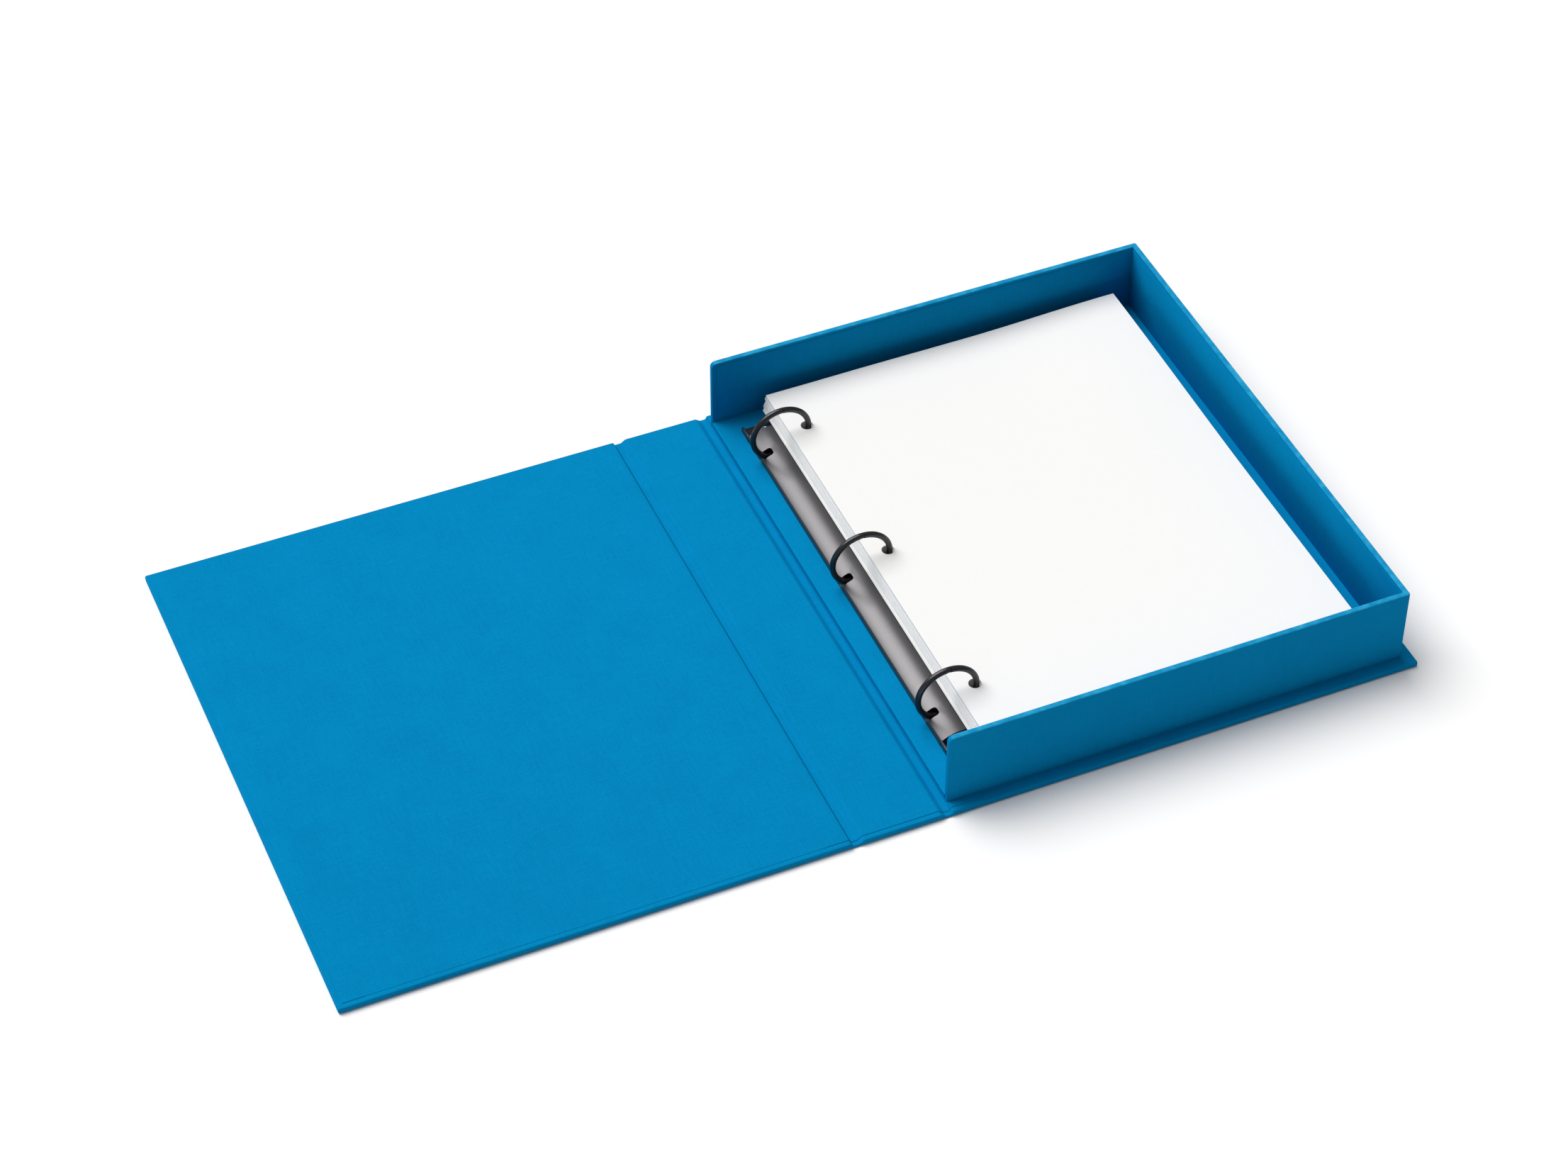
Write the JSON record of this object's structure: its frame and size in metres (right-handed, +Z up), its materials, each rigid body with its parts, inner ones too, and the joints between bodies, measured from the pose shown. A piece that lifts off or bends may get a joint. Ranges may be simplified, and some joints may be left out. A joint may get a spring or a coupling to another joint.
{
  "type": "ring binder",
  "caption": "Clamshell ring binder lying open: hinged cloth-covered case, walled tray, riveted round-ring mechanism and a loose stack of punched letter paper.",
  "frame": {"origin": "on the table, under the middle of the open binder's outline", "axes": "+X from the cover's fore-edge to the tray's fore-edge, +Y from the tail (near end) to the head (far end), +Z up from the table"},
  "size_m": [0.596, 0.326, 0.0493],
  "materials": {
    "bookcloth": "woven book cloth, matt, turquoise blue",
    "lining_cloth": "woven book cloth, matt, turquoise blue",
    "greyboard": "grey binder's board, covered",
    "black_plate": "black enamel, semi-gloss",
    "black_wire": "black enamel on round wire, semi-gloss",
    "leaf_steel": "plain zinc-plated strip",
    "rivet_metal": "nickel-plated hollow rivet",
    "paper": "plain white writing paper"
  },
  "bodies": {
    "tray": {"back_board": "greyboard", "back_cloth": "bookcloth", "hinge_lining": "lining_cloth", "tray_base_board": "greyboard", "head_wall_board": "greyboard", "tail_wall_board": "greyboard", "fore_edge_wall_board": "greyboard", "tray_wall_cloth": "bookcloth", "floor_lining": "lining_cloth", "head_wall_lining": "lining_cloth", "tail_wall_lining": "lining_cloth", "fore_edge_wall_lining": "lining_cloth", "cover_plate": "black_plate", "rivet_tail": "rivet_metal", "rivet_head": "rivet_metal"},
    "spine": {"spine_board": "greyboard", "spine_cloth": "bookcloth", "spine_lining": "lining_cloth"},
    "cover": {"cover_board": "greyboard", "cover_cloth": "bookcloth", "cover_lining": "lining_cloth"},
    "left_rings": {"left_leaf": "leaf_steel", "half_ring_left_tail": "black_wire", "half_ring_left_middle": "black_wire", "half_ring_left_head": "black_wire"},
    "right_rings": {"right_leaf": "leaf_steel", "half_ring_right_tail": "black_wire", "half_ring_right_middle": "black_wire", "half_ring_right_head": "black_wire"},
    "paper_1": {"paper_sheaf_1": "paper"},
    "paper_2": {"paper_sheaf_2": "paper"},
    "paper_3": {"paper_sheaf_3": "paper"},
    "paper_4": {"paper_sheaf_4": "paper"},
    "paper_5": {"paper_sheaf_5": "paper"},
    "paper_6": {"paper_sheaf_6": "paper"},
    "page_margin": {"top_sheet_margin": "paper"},
    "page": {"top_sheet": "paper"}
  },
  "joints": [
    {"name": "spine_hinge", "type": "hinge", "parent": "tray", "child": "spine", "pos_m": [0.0251, 0, 0.0006], "axis": [0, 1, 0], "range_deg": [0, 90]},
    {"name": "cover_hinge", "type": "hinge", "parent": "spine", "child": "cover", "pos_m": [-0.0269, 0, 0.0006], "axis": [0, 1, 0], "range_deg": [0, 90]},
    {"name": "ring_open", "type": "hinge", "parent": "tray", "child": "left_rings", "pos_m": [0.042, 0.0041, 0.0093], "axis": [0, -1, 0], "range_deg": [0, 12], "stiffness_Nm_per_rad": 0.8},
    {"name": "ring_open_right", "type": "hinge", "parent": "tray", "child": "right_rings", "pos_m": [0.0628, 0.0041, 0.0093], "axis": [0, 1, 0], "range_deg": [0, 12]},
    {"name": "paper_1_slide", "type": "slide", "parent": "tray", "child": "paper_1", "axis": [1, 0, 0], "range_m": [0, 0.00191]},
    {"name": "paper_2_slide", "type": "slide", "parent": "tray", "child": "paper_2", "axis": [1, 0, 0], "range_m": [0, 0.00217]},
    {"name": "paper_3_slide", "type": "slide", "parent": "tray", "child": "paper_3", "axis": [1, 0, 0], "range_m": [0, 0.00243]},
    {"name": "paper_4_slide", "type": "slide", "parent": "tray", "child": "paper_4", "axis": [1, 0, 0], "range_m": [0, 0.00269]},
    {"name": "paper_5_slide", "type": "slide", "parent": "tray", "child": "paper_5", "axis": [1, 0, 0], "range_m": [0, 0.00295]},
    {"name": "paper_6_slide", "type": "slide", "parent": "tray", "child": "paper_6", "axis": [1, 0, 0], "range_m": [0, 0.0032]},
    {"name": "page_turn", "type": "hinge", "parent": "paper_6", "child": "page_margin", "pos_m": [0.0524, 0.0041, 0.024], "axis": [0, 1, 0], "range_deg": [-178, 0]},
    {"name": "page_curl", "type": "hinge", "parent": "page_margin", "child": "page", "pos_m": [0.0869, 0.0041, 0.02442], "axis": [0, 1, 0], "range_deg": [-7, 0]}
  ],
  "couplings": [
    {"joint": "ring_open", "follows": "paper_6_slide", "rad_per_m": 65.45},
    {"joint": "ring_open_right", "follows": "paper_6_slide", "rad_per_m": 65.45},
    {"joint": "paper_1_slide", "follows": "paper_6_slide", "ratio": 0.59375},
    {"joint": "paper_2_slide", "follows": "paper_6_slide", "ratio": 0.675},
    {"joint": "paper_3_slide", "follows": "paper_6_slide", "ratio": 0.75625},
    {"joint": "paper_4_slide", "follows": "paper_6_slide", "ratio": 0.8375},
    {"joint": "paper_5_slide", "follows": "paper_6_slide", "ratio": 0.91875}
  ]
}
